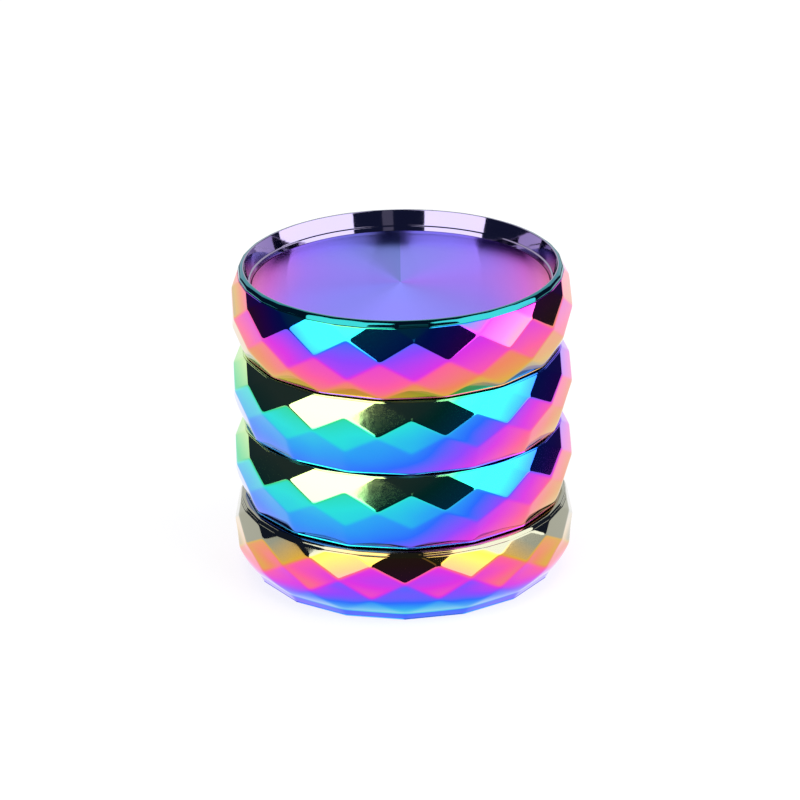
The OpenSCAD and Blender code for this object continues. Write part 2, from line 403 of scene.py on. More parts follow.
@dataclass(frozen=True)
class RainbowFilm(Finish):
    """Interference film on bright metal: its colour follows the film's thickness over the ring.

    With n the normal's upward part, kept under n_most, and x across the ring as a share of its reach,
    thickness = middle + fall (height - level) + tilt n + curve n^2
                + spread(n) (lean x + side x^2 + twist x^3) + cloud noise,
    where spread runs from spread_low on upright faces to 1 on upper facets. Wash mixes grey into the colour,
    shade darkens it, ripple is the strength of a fine waviness, and clear the weight of a clear coat.
    """

    name: str
    middle: float
    level: float
    fall: float = 0.02
    tilt: float = 0.5
    curve: float = 0.0
    lean: float = -0.22
    side: float = -0.33
    twist: float = 0.0
    spread_low: float = 1.0
    n_most: float = 0.6
    cloud: float = 0.06
    reach: float = 24.5
    rough: float = 0.06
    ripple: float = 0.03
    wash: float = 0.0
    # Set well under 1, as on the rim and in the recess, shade is a painted shade.
    shade: float = 0.95
    clear: float = 0.35

    def build(self, bench: NodeBench) -> bpy.types.Material:
        """Builds the film's node tree."""
        where = bench.add("TexCoord")
        axes = bench.add("SeparateXYZ", {0: where.outputs["Object"]})
        slope = bench.add("SeparateXYZ", {0: where.outputs["Normal"]})
        up = bench.add("Math", {0: slope.outputs["Z"], 1: self.n_most}, operation="MINIMUM").outputs[0]
        across = bench.product(axes.outputs["X"], 1 / (self.reach * MM))
        square = bench.product(across, across)
        cube = bench.product(square, across)
        bend = bench.sum_of([(across, self.lean), (square, self.side), (cube, self.twist)])
        reach = {"Value": up, "From Max": 0.3, "To Min": self.spread_low, "To Max": 1.0}
        spread = bench.add("MapRange", reach)
        noise = bench.add("TexNoise", {"Vector": where.outputs["Object"], "Scale": 110.0, "Detail": 2.0})
        thickness = bench.sum_of(
            [
                (axes.outputs["Z"], self.fall / MM),
                (up, self.tilt),
                (bench.product(up, up), self.curve),
                (bench.product(bend, spread.outputs[0]), 1.0),
                (noise.outputs["Fac"], self.cloud),
            ],
            self.middle - self.fall * self.level - 0.5 * self.cloud,
        )
        ramp = bench.add("ValToRGB", {0: thickness})
        fill_ramp(ramp, FILM_COLOURS)
        tint = bench.add("MixRGB", {0: self.wash, 1: ramp.outputs[0], 2: (0.7, 0.7, 0.7, 1.0)})
        colour = bench.add("VectorMath", {0: tint.outputs[0], "Scale": self.shade}, operation="SCALE")
        grain = bench.add("TexNoise", {"Vector": where.outputs["Object"], "Scale": 2500.0, "Detail": 3.0})
        rough = bench.sum_of([(grain.outputs["Fac"], 0.04)], self.rough - 0.02)
        wave = bench.add("TexNoise", {"Vector": where.outputs["Object"], "Scale": 420.0, "Detail": 2.0})
        bump = bench.add("Bump", {"Strength": self.ripple, "Distance": 0.0002, "Height": wave.outputs["Fac"]})
        shader = bench.add(
            "BsdfPrincipled",
            {
                "Base Color": colour.outputs[0],
                "Metallic": 1.0,
                "Roughness": rough,
                "Normal": bump.outputs[0],
                "Coat Weight": self.clear,
                "Coat IOR": 1.7,
                "Coat Roughness": 0.05,
            },
        )
        return bench.close(shader)


def fill_ramp(ramp: bpy.types.Node, stops: tuple) -> None:
    """Sets a colour ramp's stops.

    Args:
        ramp: the colour ramp node.
        stops: (position, colour) pairs in rising order.
    """
    bar = ramp.color_ramp
    while len(bar.elements) < len(stops):
        bar.elements.new(0.5)
    for element, (place, colour) in zip(bar.elements, stops):
        element.position = place
        element.color = colour


# The spun face round the axis: turns from the back towards the left, film thickness, and a brightness that is
# a painted sheen, wedges of light and dark fanning out from the centre.
PAINTED_SHEEN_FAN = (
    (0.00, 0.575, 0.62), (0.05, 0.555, 0.60), (0.09, 0.54, 0.95), (0.16, 0.52, 0.98), (0.24, 0.52, 1.00),
    (0.32, 0.54, 1.04), (0.40, 0.54, 0.90), (0.47, 0.54, 1.12), (0.54, 0.54, 1.00), (0.62, 0.52, 0.90),
    (0.70, 0.49, 0.98), (0.78, 0.48, 1.08), (0.88, 0.51, 0.98), (0.95, 0.54, 0.90),
)


@dataclass(frozen=True)
class SpunFilm(Finish):
    """The same film on a face turned on a lathe: fine rings, and a sheen that fans out from the centre,
    partly from the stretched gloss and partly painted.

    Thickness and brightness follow the angle round the axis, the brightness being a painted sheen, and
    thickness also falls by side (x / reach)^4.
    """

    name: str
    side: float = 0.22
    reach: float = 21.6
    rough: float = 0.26
    spread: float = 0.8

    def build(self, bench: NodeBench) -> bpy.types.Material:
        """Builds the spun face's node tree."""
        where = bench.add("TexCoord")
        axes = bench.add("SeparateXYZ", {0: where.outputs["Object"]})
        left = bench.product(axes.outputs["X"], -1.0)
        angle = bench.add("Math", {0: left, 1: axes.outputs["Y"]}, operation="ARCTAN2")
        turn = bench.sum_of([(angle.outputs[0], 0.5 / math.pi)], 1.0)
        place = bench.add("Math", {0: turn}, operation="FRACT").outputs[0]
        fan = bench.add("ValToRGB", {0: place})
        fan.color_ramp.interpolation = "B_SPLINE"
        fill_ramp(fan, tuple((t, (thick, painted_sheen / 2, 0.0, 1.0)) for t, thick, painted_sheen in PAINTED_SHEEN_FAN))
        parts = bench.add("SeparateColor", {0: fan.outputs[0]})
        across = bench.product(axes.outputs["X"], 1 / (self.reach * MM))
        square = bench.product(across, across)
        noise = bench.add("TexNoise", {"Vector": where.outputs["Object"], "Scale": 60.0, "Detail": 1.0})
        fourth = bench.product(square, square)
        thickness = bench.sum_of(
            [(parts.outputs[0], 1.0), (fourth, -self.side), (noise.outputs["Fac"], 0.03)], 0.005
        )
        ramp = bench.add("ValToRGB", {0: thickness})
        fill_ramp(ramp, FILM_COLOURS)
        pale = bench.add("MixRGB", {0: 0.25, 1: ramp.outputs[0], 2: (0.5, 0.45, 0.6, 1.0)})
        # The fan's brightness scales the film's colour: a painted sheen.
        painted_sheen = bench.product(parts.outputs[1], 2.0)
        colour = bench.add("VectorMath", {0: pale.outputs[0], "Scale": painted_sheen}, operation="SCALE")
        rings = bench.add(
            "TexWave",
            {"Vector": where.outputs["Object"], "Scale": 900.0, "Distortion": 0.6, "Detail": 1.0},
            wave_type="RINGS",
            rings_direction="Z",
        )
        bump = bench.add("Bump", {"Strength": 0.05, "Distance": 0.00002, "Height": rings.outputs["Fac"]})
        around = bench.add("Tangent", direction_type="RADIAL", axis="Z")
        shader = bench.add(
            "BsdfPrincipled",
            {
                "Base Color": colour.outputs[0],
                "Metallic": 1.0,
                "Roughness": self.rough,
                "Anisotropic": self.spread,
                "Tangent": around.outputs[0],
                "Normal": bump.outputs[0],
            },
        )
        return bench.close(shader)


@dataclass(frozen=True)
class Steel(Finish):
    """Bare metal with a faint directional grain."""

    name: str
    colour: tuple[float, float, float, float]
    rough: float = 0.28
    grain: float = 0.08

    def build(self, bench: NodeBench) -> bpy.types.Material:
        """Builds the metal's node tree."""
        where = bench.add("TexCoord")
        noise = bench.add("TexNoise", {"Vector": where.outputs["Object"], "Scale": 3000.0, "Detail": 4.0})
        rough = bench.sum_of([(noise.outputs["Fac"], 2 * self.grain)], self.rough - self.grain)
        tone = bench.add("MapRange", {"Value": noise.outputs["Fac"], "To Min": 0.88, "To Max": 1.06})
        colour = bench.add("VectorMath", {0: self.colour[:3], "Scale": tone.outputs[0]}, operation="SCALE")
        bump = bench.add("Bump", {"Strength": 0.08, "Distance": 0.00003, "Height": noise.outputs["Fac"]})
        shader = bench.add(
            "BsdfPrincipled",
            {"Base Color": colour.outputs[0], "Metallic": 1.0, "Roughness": rough, "Normal": bump.outputs[0]},
        )
        return bench.close(shader)


@dataclass(frozen=True)
class Moulded(Finish):
    """Moulded plastic or rubber: a soft mottle in its colour and a fine orange-peel skin."""

    name: str
    colour: tuple[float, float, float, float]
    dark: tuple[float, float, float, float]
    rough: float = 0.5
    soft_light: float = 0.0

    def build(self, bench: NodeBench) -> bpy.types.Material:
        """Builds the moulding's node tree."""
        where = bench.add("TexCoord")
        noise = bench.add("TexNoise", {"Vector": where.outputs["Object"], "Scale": 700.0, "Detail": 3.0})
        ramp = bench.add("ValToRGB", {0: noise.outputs["Fac"]})
        fill_ramp(ramp, ((0.3, self.dark), (0.7, self.colour)))
        rough = bench.sum_of([(noise.outputs["Fac"], 0.16)], self.rough - 0.08)
        bump = bench.add("Bump", {"Strength": 0.1, "Distance": 0.00005, "Height": noise.outputs["Fac"]})
        shader = bench.add(
            "BsdfPrincipled",
            {
                "Base Color": ramp.outputs[0],
                "Roughness": rough,
                "Normal": bump.outputs[0],
                "Subsurface Weight": self.soft_light,
                "Subsurface Scale": 0.0005,
            },
        )
        return bench.close(shader)


# ---------------------------------------------------------------- shapes


@dataclass(frozen=True)
class FacetBand:
    """A band of flat rhombic facets whose corner rows lie at equal heights.

    The corner radius falls as a cosine from the widest row, which keeps every rhombus flat. A facet's plane,
    seen along its middle line, has radius wide cos(step) cos(step i) + slope (height - middle height), and
    that over cos(angle from the middle line) elsewhere. The band's radius is the smallest of them all,
    blended over a short width by -log(sum(exp(-sharp radius))) / sharp. Below the widest row it is fuller by
    belly sin(pi (depth / (3 rows))^1.3)^2. The last row of planes may be left out, so that the row above it
    runs on to the edge.
    """

    widest: float
    row: float
    turn: float
    shift: float = 0.0
    wide: float = 25.0
    facets: int = 16
    crisp: float = 50.0
    soft: float = 14.0
    pillow: float = 0.0015
    belly: float = 0.0
    last: int = 4
    fine: int = 12

    def turning(self) -> Turning:
        """Columns that fall on the facets' corners."""
        return Turning(2 * self.facets * self.fine, math.radians(self.turn))

    def radius(self, height: np.ndarray) -> np.ndarray:
        """The band's radius.

        Args:
            height: one height per row, in millimetres.

        Returns:
            Radius for each row and column.
        """
        step = math.pi / self.facets
        angle = self.turning().angles() - math.radians(self.turn)
        planes = []
        for k in range(-4, self.last + 1):
            i = k + self.shift
            middle = self.widest - self.row * i
            slope = self.wide * math.sin(step) * math.sin(step * i) / self.row
            line = self.wide * math.cos(step) * math.cos(step * i) + slope * (height - middle)
            centre = 0.0 if k % 2 == 0 else step
            near = np.mod(angle - centre + step, 2 * step) - step
            for away in (near, near - 2 * step, near + 2 * step):
                bulge = self.pillow * ((self.wide * away) ** 2 + (height[:, None] - middle) ** 2)
                planes.append(line[:, None] / np.cos(away) - bulge)
        stack = np.stack(planes)
        low = stack.min(0)
        mix = np.clip((self.widest - height) / (2 * self.row), -1, 1)[:, None] * 0.5 + 0.5
        sharp = self.crisp * (1 - mix) + self.soft * mix
        below = np.clip((self.widest - height) / (3 * self.row), 0, 1)[:, None]
        full = self.belly * np.sin(math.pi * below ** 1.3) ** 2
        return low + full - np.log(np.exp(-(stack - low) * sharp).sum(0)) / sharp

    def stretch(self, low: float, high: float, finish: Finish) -> Stretch:
        """The band between two heights, from high to low, with its cells cut along the facets' edges.

        Args:
            low: lowest height.
            high: highest height.
            finish: the finish it wears.

        Returns:
            The stretch.
        """
        spare, skipped = 0.3, self.shift * self.fine
        first = math.ceil((self.widest - high) / self.row * self.fine - skipped + spare)
        final = math.floor((self.widest - low) / self.row * self.fine - skipped - spare)
        q = np.arange(first, final + 1)
        height = np.concatenate([[high], self.widest - self.row * (q / self.fine + self.shift), [low]])
        q = np.concatenate([[first - 1], q, [final + 1]])
        j = np.arange(2 * self.facets * self.fine)
        along = (j[None] - q[:, None], j[None] + 1 + q[:, None])
        off_fall, off_rise = (np.abs(np.mod(line, 2 * self.fine) - self.fine) for line in along)
        falling = off_fall < off_rise
        return Stretch(self.radius(height), height[:, None] * np.ones(len(j)), finish, falling)


@dataclass(frozen=True)
class ScrewThread:
    """A right-handed two-start thread as a swelling of a round wall.

    The nearest ridge's middle lies at start + half foot + lead * angle / turn, modulo the pitch. The wall is
    raised by height * (3 t^2 - 2 t^3), where t = (half foot - distance) / (half foot - half crest), kept from
    0 to 1. The ridge fades out over a short height at each of the helix's ends.
    """

    wall: float
    side: int
    start: float
    length: float
    lead: float = 3.0
    starts: int = 2
    height: float = 0.65
    foot: float = 0.95
    crest: float = 0.4
    fade: float = 0.33
    rows: int = 34

    def stretch(self, turning: Turning, from_height: float, to_height: float, finish: Finish) -> Stretch:
        """The threaded wall between two heights.

        Args:
            turning: the ring's columns.
            from_height: height of the first row.
            to_height: height of the last row.
            finish: the finish it wears.

        Returns:
            The stretch.
        """
        angle = turning.angles() - math.pi / 2
        height = np.linspace(from_height, to_height, self.rows)[:, None] * np.ones(turning.columns)
        pitch = self.lead / self.starts
        first = self.start + self.foot / 2
        base = first + self.lead * angle / (2 * math.pi)
        middle = base + pitch * np.round((height - base) / pitch)
        last = self.start + self.length - self.foot / 2
        middle = np.where(middle > last, middle - pitch, middle)
        middle = np.where(middle < first, middle + pitch, middle)
        inside = (middle >= first) & (middle <= last)
        ends = np.clip(np.minimum(middle - first, last - middle) / self.fade, 0, 1)
        gap = np.abs(height - middle)
        ridge = np.clip((self.foot / 2 - gap) / ((self.foot - self.crest) / 2), 0, 1)
        ridge = ridge * ridge * (3 - 2 * ridge)
        return Stretch(self.wall + self.side * self.height * ridge * ends * inside, height, finish)


@dataclass(frozen=True)
class RingSizes:
    """Inside sizes that the shells share, in millimetres."""

    neck: float = 20.3
    socket: float = 21.2
    socket_depth: float = 4.4
    seal_seat: float = 21.45
    seal_depth: float = 1.0
    top_face: float = 0.9
    neck_length: float = 4.0
    neck_bore: float = 18.4
    neck_edge: float = 0.5
    bowl: float = 20.2
    screen: float = 19.0
    lip: float = 17.9
    lip_height: float = 0.9
    thread_clear: float = 0.3
    male_length: float = 2.5
    female_length: float = 3.25
    pitch: float = 1.5
    edge: float = 0.18


SIZES = RingSizes()


@dataclass(frozen=True)
class Shell:
    """One of the four stacked shells: a faceted band under a film, and a plainer finish inside."""

    name: str
    node: str
    body: str
    slot: str
    band: FacetBand
    coat: RainbowFilm
    inside: Finish

    def stretches(self) -> list[Stretch]:
        """The whole profile in order; each shell has its own."""
        raise NotImplementedError

    def ends(self) -> Ends:
        """How the profile closes: on the axis, unless a shell says otherwise."""
        return Ends.POLES

    def build(self) -> bpy.types.Object:
        """Makes the shell's skin.

        Returns:
            The shell.
        """
        piece = self.band.turning().skin(self.name, self.stretches(), self.ends())
        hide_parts(self.node)
        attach(piece, self.body)
        return piece

    def turned(self, outline: list[tuple[float, float, float]], finish: Finish, steps: int = 4) -> Stretch:
        """A round stretch with rounded corners.

        Args:
            outline: (radius, height, fillet) corners.
            finish: the finish it wears.
            steps: arc pieces in a corner.

        Returns:
            The stretch.
        """
        return self.band.turning().plain(rounded(outline, steps), finish)

    def socket(self, mouth: float, outer: np.ndarray, edge: float) -> list[Stretch]:
        """The top of a shell, from its outer edge inwards and down its threaded socket.

        Args:
            mouth: height of the shell's top face.
            outer: radius of the outer edge at each column.
            edge: radius of the round on the outer edge.

        Returns:
            The outer edge, the top face with the seal's seat, and the threaded wall.
        """
        s, seat = SIZES, mouth - SIZES.seal_depth
        start = mouth + SEAM_HALF - s.neck_length + s.thread_clear - s.pitch / 2
        thread = ScrewThread(s.socket, -1, start, s.female_length)
        wall_top, wall_foot = seat - 0.12, mouth - s.socket_depth + 0.1
        face = self.turned([
            (s.seal_seat + s.top_face, mouth, 0), (s.seal_seat, mouth, 0.12), (s.seal_seat, seat, 0.08),
            (s.socket, seat, 0.08), (s.socket, wall_top, 0),
        ], self.coat)
        wall = thread.stretch(self.band.turning(), wall_top - JOIN, wall_foot, self.inside)
        return [rolled(outer, mouth, edge, 1, self.coat), face, wall]

    def neck(self, seam: float, outer: float, bore: float) -> list[Stretch]:
        """A threaded neck, from its bore round its foot and up to the shoulder above it.

        Args:
            seam: height of the nominal seam, from which the thread is placed.
            outer: radius at which the shoulder meets the facets' lower edge.
            bore: radius of the bore at the neck's foot.

        Returns:
            The foot, the threaded wall, and the shoulder.
        """
        s, shoulder = SIZES, seam + SEAM_HALF
        foot = seam - s.neck_length
        wall_foot, wall_top = foot + 0.26, shoulder - 0.25
        rim = self.turned([
            (bore, foot + s.neck_edge, 0), (bore, foot, 0.12), (s.neck, foot, 0.2), (s.neck, wall_foot, 0),
        ], self.inside)
        thread = ScrewThread(s.neck, 1, foot + s.thread_clear, s.male_length)
        wall = thread.stretch(self.band.turning(), wall_foot + JOIN, wall_top - 0.05, self.inside)
        path = [(s.neck, wall_top, 0), (s.neck, shoulder, 0.12), (outer - 0.12, shoulder, 0)]
        return [rim, wall, self.turned(path, self.coat)]


@dataclass(frozen=True)
class BaseBowl(Shell):
    """The bottom bowl: faceted outside, round bowl inside, threaded mouth."""

    foot_coat: RainbowFilm
    floor: float = 1.8
    cove: float = 3.0
    foot: float = 22.3
    foot_round: float = 0.15
    shoulder: float = 0.6

    def stretches(self) -> list[Stretch]:
        """The profile from the middle of the bowl's floor to the middle of its underside.

        Returns:
            The stretches.
        """
        s, top = SIZES, top_of("base_bowl")
        last_row = self.band.widest - self.band.row * (2 + self.band.shift)
        wall = self.band.stretch(last_row, top - self.shoulder, self.coat)
        step = top - s.socket_depth
        well = self.turned([
            (0.0, self.floor, 0), (s.bowl, self.floor, self.cove), (s.bowl, step, 0.15),
            (s.socket, step, 0.08), (s.socket, step + 0.08, 0),
        ], self.inside, 10)
        rim, mouth, thread = self.socket(top, wall.radius[0], self.shoulder)
        foot = self.footed(wall.radius[-1], last_row)
        edge = rolled(foot.radius[-1], 0.0, self.foot_round, -1, self.foot_coat)
        inwards = np.linspace(0.97, 0, 6)[:, None] * edge.radius[-1]
        under = Stretch(inwards, 0 * inwards, self.inside)
        return [well, thread.flipped(), mouth.flipped(), rim.flipped(), wall, foot, edge, under]

    def footed(self, joint: np.ndarray, last_row: float) -> Stretch:
        """The band below the last corner row, running to a sixteen-sided outline on the foot.

        The outline's radius is foot cos(step) / cos(angle from the side's middle).

        Args:
            joint: the wall's radius at the last corner row.
            last_row: height of the last corner row.

        Returns:
            The stretch, which ends just above the underside.
        """
        step = math.pi / self.band.facets
        angle = self.band.turning().angles() - math.radians(self.band.turn)
        near = np.mod(angle + step, 2 * step) - step
        sides = self.foot * math.cos(step) / np.cos(near)
        t = np.linspace(0, 1, 9)[1:, None]
        height = last_row * (1 - t) + self.foot_round * t + 0 * joint
        return Stretch(joint * (1 - t) + sides * t, height, self.foot_coat)


@dataclass(frozen=True)
class MiddleRing(Shell):
    """A faceted ring with an open top above and a threaded neck below."""

    lip: float = 22.7

    def throat(self, mouth: float, seam: float) -> Stretch:
        """The inner wall, from under the ring's top down to just above the neck's foot.

        Args:
            mouth: height of the ring's top face.
            seam: height of the nominal seam below the ring.

        Returns:
            The stretch.
        """
        raise NotImplementedError

    def top(self, mouth: float, outer: np.ndarray) -> list[Stretch]:
        """The ring's top, a threaded socket unless a ring says otherwise."""
        return self.socket(mouth, outer, SIZES.edge)

    def bore(self) -> float:
        """Radius of the bore at the neck's foot."""
        return SIZES.neck_bore

    def ends(self) -> Ends:
        """The ring is open: its profile is a loop."""
        return Ends.LOOP

    def stretches(self) -> list[Stretch]:
        """The profile up the facets, over the top, down the throat, and up the neck to the shoulder.

        Returns:
            The stretches.
        """
        mouth, seam = top_of(self.node), floor_of(self.node) + SIZES.neck_length
        shoulder = seam + SEAM_HALF
        wall = self.band.stretch(shoulder + SIZES.edge, mouth - SIZES.edge, self.coat)
        wall = replace(wall, radius=np.maximum(wall.radius, self.lip))
        edge = rolled(wall.radius[-1], shoulder, SIZES.edge, -1, self.coat)
        neck = self.neck(seam, float(edge.radius[-1].min()), self.bore())
        top = self.top(mouth, wall.radius[0])
        return [wall.flipped(), *top, self.throat(mouth, seam), *neck, edge.flipped()]


@dataclass(frozen=True)
class SieveRing(MiddleRing):
    """The ring that holds the screen, under a chamber that narrows in a cone."""

    cone_top: float = 2.4
    cone_foot: float = 0.6

    def bore(self) -> float:
        """Radius of the seat that the screen's retainer sits in."""
        return SIZES.screen

    def throat(self, mouth: float, seam: float) -> Stretch:
        """Socket floor, chamber wall, cone, lip, and the screen's seat."""
        s, seat = SIZES, top_of("screen_hoop")
        step, lip = mouth - s.socket_depth, seat + s.lip_height
        return self.turned([
            (s.socket, step + 0.08, 0), (s.socket, step, 0.08), (s.bowl, step, 0.12),
            (s.bowl, seam + self.cone_top, 0.6), (s.neck_bore, seam + self.cone_foot, 0.6),
            (s.neck_bore, lip, 0.12), (s.lip, lip, 0.12), (s.lip, seat, 0.08),
            (s.screen, seat, 0.06), (s.screen, floor_of(self.node) + s.neck_edge + JOIN, 0),
        ], self.inside)


@dataclass(frozen=True)
class ChamberRing(MiddleRing):
    """The ring that holds the tooth plate; the lid's skirt drops into its mouth."""

    mouth_bore: float = 21.6
    mouth_depth: float = 3.0
    chamber: float = 20.4

    def top(self, mouth: float, outer: np.ndarray) -> list[Stretch]:
        """Rounded outer edge, top face and the upper part of the plain bore."""
        face = self.turned([
            (self.mouth_bore + SIZES.top_face, mouth, 0), (self.mouth_bore, mouth, 0.2),
            (self.mouth_bore, mouth - self.mouth_depth, 0),
        ], self.inside)
        return [rolled(outer, mouth, SIZES.edge, 1, self.coat), face]

    def throat(self, mouth: float, seam: float) -> Stretch:
        """Slip-ring step, chamber wall, plate ledge and the neck's bore."""
        step, ledge, bore = floor_of("slip_ring"), floor_of("tooth_plate"), SIZES.neck_bore
        return self.turned([
            (self.mouth_bore, mouth - self.mouth_depth - JOIN, 0), (self.mouth_bore, step, 0.08),
            (self.chamber, step, 0.15), (self.chamber, ledge, 0.06), (bore, ledge, 0.15),
            (bore, floor_of(self.node) + SIZES.neck_edge + JOIN, 0),
        ], self.inside)


@dataclass(frozen=True)
class LidShell(Shell):
    """The lid: recessed top, rounded rim, faceted side, skirt, and hub for the magnet."""

    recess: Finish
    rim_coat: RainbowFilm
    rim_drop: float = 0.9
    rim_top: float = 22.85
    lip: float = 22.7
    wall_foot: float = 22.05
    wall_depth: float = 2.2
    ledge: float = 21.82
    ledge_fall: float = 0.12
    seat: float = 21.66
    skirt: float = 21.2
    skirt_bore: float = 20.4
    hub: float = 5.2
    pocket: float = 4.05
    screw_hole: float = 1.2

    def stretches(self) -> list[Stretch]:
        """The profile from the middle of the face's seat to the middle of the hub's screw hole.

        Returns:
            The stretches.
        """
        top, low = top_of("lid_shell"), top_of("chamber_ring") + 2 * SEAM_HALF
        wall = self.band.stretch(low + SIZES.edge, top - self.rim_drop, self.coat)
        edge = rolled(wall.radius[-1], low, SIZES.edge, -1, self.coat)
        return [self.dish(top), self.rim(top, wall.radius[0]), wall, edge, self.hollow(edge.radius[-1], low)]

    def dish(self, top: float) -> Stretch:
        """The face's seat, the ledge round it, and the recess wall up to the rim."""
        seat, foot = floor_of("lid_face"), top - self.wall_depth
        return self.turned([
            (0.0, seat, 0), (self.seat, seat, 0.05), (self.seat, top_of("lid_face"), 0.03),
            (self.ledge, foot - self.ledge_fall, 0.06), (self.wall_foot, foot, 0.08), (self.lip, top, 0.12),
            (self.rim_top, top, 0),
        ], self.recess)

    def rim(self, top: float, outer: np.ndarray) -> Stretch:
        """The rim's outer round, a quarter of an ellipse from the top face down to the facets.

        Args:
            top: height of the lid's top.
            outer: the facets' radius at each column.

        Returns:
            The stretch.
        """
        t = np.linspace(math.pi / 2, 0, 8)[:, None]
        radius = self.rim_top + (outer - self.rim_top) * np.cos(t)
        return Stretch(radius, top - self.rim_drop * (1 - np.sin(t)) + 0 * outer, self.rim_coat)

    def hollow(self, outer: np.ndarray, low: float) -> Stretch:
        """The lid's inside, from its lower edge over the skirt to the hub.

        Args:
            outer: radius at which the lower edge ends, at each column.
            low: height of the lid's lower edge.

        Returns:
            The stretch.
        """
        skirt_foot, ceiling = floor_of("lid_shell"), top_of("lid_teeth_outer")
        hub_foot, pocket, hole = floor_of("lid_magnet"), top_of("lid_magnet"), top_of("lid_magnet_screw")
        return self.turned([
            (float(outer.min()) - 0.1, low, 0), (self.skirt, low, 0.12), (self.skirt, skirt_foot, 0.2),
            (self.skirt_bore, skirt_foot, 0.12), (self.skirt_bore, ceiling, 0.5), (self.hub, ceiling, 0.5),
            (self.hub, hub_foot, 0.2), (self.pocket, hub_foot, 0.08), (self.pocket, pocket, 0.05),
            (self.screw_hole, pocket, 0.03), (self.screw_hole, hole, 0.03), (0.0, hole, 0),
        ], self.inside)


@dataclass(frozen=True)
class SpunFace:
    """The flat face in the lid's recess, with a broken edge."""

    finish: Finish
    edge: float = 0.1

    def build(self) -> bpy.types.Object:
        """Makes the face.

        Returns:
            The face.
        """
        low, high, out = floor_of("lid_face"), top_of("lid_face"), radius_of("lid_face")
        turning = Turning(192)
        rings = [(float(r), high, 0.0) for r in np.linspace(0, out - 1, 12)]
        path = rounded(rings + [(out, high, self.edge), (out, low, 0.05), (0.0, low, 0)])
        piece = turning.skin("spun_face", [turning.plain(path, self.finish)], Ends.POLES)
        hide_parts("lid_face")
        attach(piece, "lid")
        return piece


@dataclass(frozen=True)
class ToothCircle:
    """A circle of diamond-section teeth with broken edges.

    A tooth's section is |x / half width|^p + |y / half length|^p = 1 with p a little over 1, which rounds
    the diamond's corners; it narrows to the tip over the last tenth of its height.
    """

    node: str
    body: str
    circle: float
    count: int
    first: float
    tip_up: bool
    finish: Finish
    length: float = 3.2
    width: float = 2.2
    power: float = 1.12
    sides: int = 32

    def build(self) -> bpy.types.Object:
        """Makes all teeth of the circle in one piece.

        Returns:
            The teeth.
        """
        low, high = floor_of(self.node), top_of(self.node)
        turn = np.arange(self.sides) * 2 * math.pi / self.sides
        size = (np.abs(np.cos(turn)) ** self.power + np.abs(np.sin(turn)) ** self.power) ** (-1 / self.power)
        across, along = self.width / 2 * size * np.cos(turn), self.length / 2 * size * np.sin(turn)
        rise = np.array([0.0, 0.02, 0.6, 0.9, 0.97, 1.0, 1.0])
        waist = np.array([1.0, 1.0, 0.99, 0.97, 0.9, 0.8, 0.0])
        rise = rise if self.tip_up else 1 - rise
        height = low + (high - low) * rise
        points, faces = [], []
        q, j = np.meshgrid(np.arange(len(rise) - 1), np.arange(self.sides), indexing="ij")
        a, b = q * self.sides + j, q * self.sides + (j + 1) % self.sides
        c, d = b + self.sides, a + self.sides
        halves = [np.stack(half, -1).reshape(-1, 3) for half in ((a, b, c), (a, c, d))]
        walls = np.concatenate(halves)
        fan = np.arange(1, self.sides - 1)
        walls = np.concatenate([walls, np.stack([0 * fan, fan + 1, fan], -1)])
        for k in range(self.count):
            at = math.radians(self.first + 360 * k / self.count)
            out, beside = self.circle + waist[:, None] * across, waist[:, None] * along
            x = out * math.cos(at) - beside * math.sin(at)
            y = out * math.sin(at) + beside * math.cos(at)
            tooth = np.stack([x, y, height[:, None] + 0 * x], -1).reshape(-1, 3)
            faces.append(facing_out(tooth - tooth.mean(0), walls) + k * len(tooth))
            points.append(tooth)
        piece = mesh_object(self.node + "_cast", np.concatenate(points), np.concatenate(faces), smooth=False)
        dress(piece, [self.finish])
        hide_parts(self.node)
        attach(piece, self.body)
        return piece


@dataclass(frozen=True)
class WovenScreen:
    """Plain-woven wire cloth, cut round.

    A wire's height is amplitude * cos(pi * distance / pitch + its own number * pi), so each passes over one
    crossing wire and under the next.
    """

    finish: Finish
    pitch: float = 0.62
    wire: float = 0.075
    reach: float = 18.5

    def build(self) -> bpy.types.Object:
        """Makes the screen from two sets of wires at right angles.

        Returns:
            The screen.
        """
        level = (floor_of("screen_mesh") + top_of("screen_mesh")) / 2
        count = int(self.reach / self.pitch)
        points, faces, base = [], [], 0
        for number in range(-count, count + 1):
            offset = number * self.pitch
            half = math.sqrt(max(self.reach ** 2 - offset ** 2, 0.01))
            steps = max(4, 2 * int(half / self.pitch))
            along = np.linspace(-half, half, steps * 2 + 1)
            sway = self.wire * np.cos(math.pi * along / self.pitch + math.pi * number)
            corner = np.arange(4) * math.pi / 2 + math.pi / 4
            for lengthwise in (True, False):
                side = offset + self.wire * np.cos(corner)[None] + 0 * along[:, None]
                lift = level + (sway if lengthwise else -sway)[:, None] + self.wire * np.sin(corner)[None]
                run = along[:, None] + 0 * side
                tube = np.stack([run, side, lift] if lengthwise else [side, run, lift], -1).reshape(-1, 3)
                q, j = np.meshgrid(np.arange(len(along) - 1), np.arange(4), indexing="ij")
                a, b = q * 4 + j, q * 4 + (j + 1) % 4
                quads = np.stack([a, b, b + 4, a + 4], -1).reshape(-1, 4)
                caps = np.array([[3, 2, 1, 0], [0, 1, 2, 3]]) + np.array([[0], [4 * (len(along) - 1)]])
                skin = np.concatenate([quads, caps]) + base
                faces.append(skin if lengthwise else skin[:, ::-1])
                points.append(tube)
                base += len(tube)
        piece = mesh_object("wire_cloth", np.concatenate(points), np.concatenate(faces))
        dress(piece, [self.finish])
        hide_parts("screen_mesh")
        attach(piece, "sieve")
        return piece


